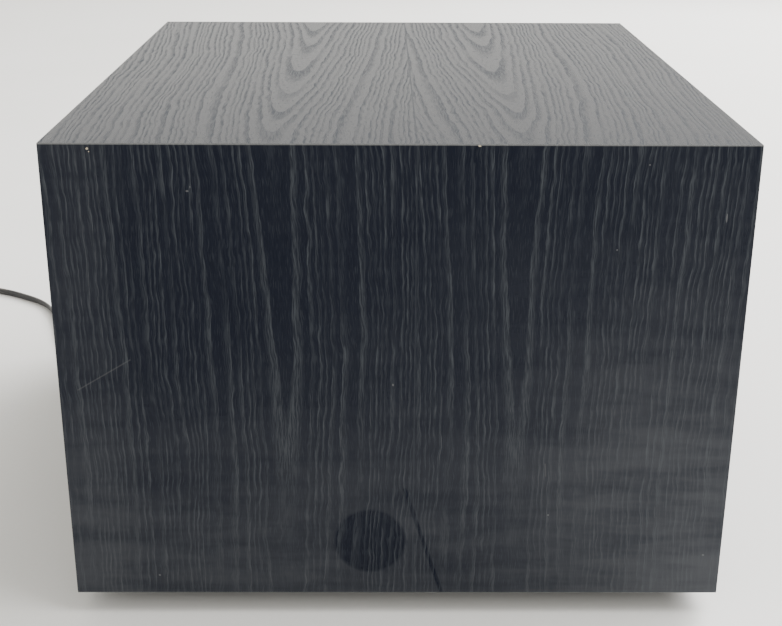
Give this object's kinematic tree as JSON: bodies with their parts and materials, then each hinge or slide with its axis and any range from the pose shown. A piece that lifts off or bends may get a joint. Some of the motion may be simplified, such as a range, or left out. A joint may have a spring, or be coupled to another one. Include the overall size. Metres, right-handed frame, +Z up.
{
  "type": "subwoofer",
  "caption": "Box subwoofer in dark wood-grain vinyl, with a front woofer and port behind a pull-off grille and a powered amplifier plate at the back.",
  "frame": {"origin": "on the floor under the middle of the cabinet and its heat sink", "axes": "front faces -Y, width along X, +Z up"},
  "size_m": [0.5845, 0.7328, 0.287],
  "materials": {
    "cabinet_vinyl": "satin wood-grain vinyl",
    "fibreboard": "raw fibreboard",
    "black_board": "black-painted fibreboard",
    "foot_rubber": "matt",
    "zinc_steel": "zinc plated",
    "black_zinc": "black plated",
    "grille_fabric": "stretched knit",
    "black_plastic": "moulded, fine texture",
    "black_metal": "powder coated",
    "gasket_foam": "closed-cell foam",
    "surround_rubber": "satin",
    "cone_pulp": "pressed fibre",
    "cap_plastic": "satin",
    "spider_cloth": "resin-dipped cotton",
    "copper_wire": "enamelled",
    "ferrite": "sintered",
    "wadding_fibre": "polyester fleece",
    "wire_sleeve": "soft plastic",
    "circuit_board": "solder mask",
    "core_steel": "varnished laminations",
    "winding_tape": "polyester tape",
    "capacitor_sleeve": "shrink sleeve",
    "black_epoxy": "moulded",
    "gold_plate": "plated",
    "red_plastic": "moulded",
    "lamp_lens": "clear tinted",
    "cord_sleeve": "soft plastic, satin"
  },
  "bodies": {
    "root": {"vinyl_wrap": "cabinet_vinyl", "top_board": "fibreboard", "bottom_board": "fibreboard", "left_board": "fibreboard", "right_board": "fibreboard", "front_baffle": "black_board", "rear_board": "black_board", "feet": "foot_rubber", "foot_screws": "zinc_steel", "grille_sockets": "foot_rubber", "woofer_basket": "black_metal", "woofer_gasket": "gasket_foam", "woofer_surround": "surround_rubber", "spider": "spider_cloth", "front_pole_plate": "zinc_steel", "magnet": "ferrite", "back_pole_plate": "zinc_steel", "tinsel_leads": "copper_wire", "woofer_terminals": "gold_plate", "woofer_screws": "black_zinc", "port_tube": "black_plastic", "wadding": "wadding_fibre", "woofer_wires": "wire_sleeve", "amp_plate": "black_metal", "board_studs": "zinc_steel", "amp_screws": "black_zinc", "inner_screws": "zinc_steel", "heatsink": "black_metal", "power_board": "circuit_board", "preamp_board": "circuit_board", "transformer_core": "core_steel", "transformer_winding": "winding_tape", "filter_capacitors": "capacitor_sleeve", "power_transistors": "black_epoxy", "rca_block": "black_plastic", "rca_sockets": "gold_plate", "terminal_block": "black_plastic", "control_pots": "zinc_steel", "phase_switch": "zinc_steel", "power_switch": "black_plastic", "power_lamp": "lamp_lens", "strain_relief": "black_plastic", "mains_cord": "cord_sleeve", "cord_coil": "cord_sleeve", "mains_plug": "black_plastic"},
    "cone": {"woofer_cone": "cone_pulp", "dust_cap": "cap_plastic", "voice_coil": "copper_wire"},
    "grille": {"grille_frame": "black_board", "grille_cloth": "grille_fabric", "grille_pegs": "black_plastic"},
    "level": {"level_shaft": "zinc_steel", "level_knob": "black_plastic"},
    "crossover": {"crossover_shaft": "zinc_steel", "crossover_knob": "black_plastic"},
    "phase": {"phase_slider": "black_plastic"},
    "rocker": {"power_rocker": "black_plastic"},
    "lever_1": {"terminal_lever_1": "red_plastic"},
    "lever_2": {"terminal_lever_2": "black_plastic"},
    "lever_3": {"terminal_lever_3": "red_plastic"},
    "lever_4": {"terminal_lever_4": "black_plastic"}
  },
  "joints": [
    {"name": "cone_travel", "type": "slide", "parent": "root", "child": "cone", "axis": [0, 1, 0], "range_m": [-0.008, 0.008], "stiffness_N_per_m": 1200, "deforming": ["woofer_surround", "spider", "tinsel_leads"]},
    {"name": "grille_pull", "type": "slide", "parent": "root", "child": "grille", "axis": [0, -1, 0], "range_m": [0, 0.06]},
    {"name": "level_turn", "type": "hinge", "parent": "root", "child": "level", "pos_m": [-0.106, 0.17275, 0.2125], "axis": [0, 1, 0], "range_deg": [-150, 150]},
    {"name": "crossover_turn", "type": "hinge", "parent": "root", "child": "crossover", "pos_m": [-0.062, 0.17275, 0.2125], "axis": [0, 1, 0], "range_deg": [-150, 150]},
    {"name": "phase_slide", "type": "slide", "parent": "root", "child": "phase", "axis": [1, 0, 0], "range_m": [0, 0.004]},
    {"name": "rocker_tip", "type": "hinge", "parent": "root", "child": "rocker", "pos_m": [0.098, 0.17175, 0.2205], "axis": [1, 0, 0], "range_deg": [0, 16]},
    {"name": "lever_1_press", "type": "hinge", "parent": "root", "child": "lever_1", "pos_m": [-0.1035, 0.17425, 0.095], "axis": [1, 0, 0], "range_deg": [0, 15], "stiffness_Nm_per_rad": 0.05, "springref_deg": -5.73},
    {"name": "lever_2_press", "type": "hinge", "parent": "root", "child": "lever_2", "pos_m": [-0.0905, 0.17425, 0.095], "axis": [1, 0, 0], "range_deg": [0, 15], "stiffness_Nm_per_rad": 0.05, "springref_deg": -5.73},
    {"name": "lever_3_press", "type": "hinge", "parent": "root", "child": "lever_3", "pos_m": [-0.0775, 0.17425, 0.095], "axis": [1, 0, 0], "range_deg": [0, 15], "stiffness_Nm_per_rad": 0.05, "springref_deg": -5.73},
    {"name": "lever_4_press", "type": "hinge", "parent": "root", "child": "lever_4", "pos_m": [-0.0645, 0.17425, 0.095], "axis": [1, 0, 0], "range_deg": [0, 15], "stiffness_Nm_per_rad": 0.05, "springref_deg": -5.73}
  ]
}
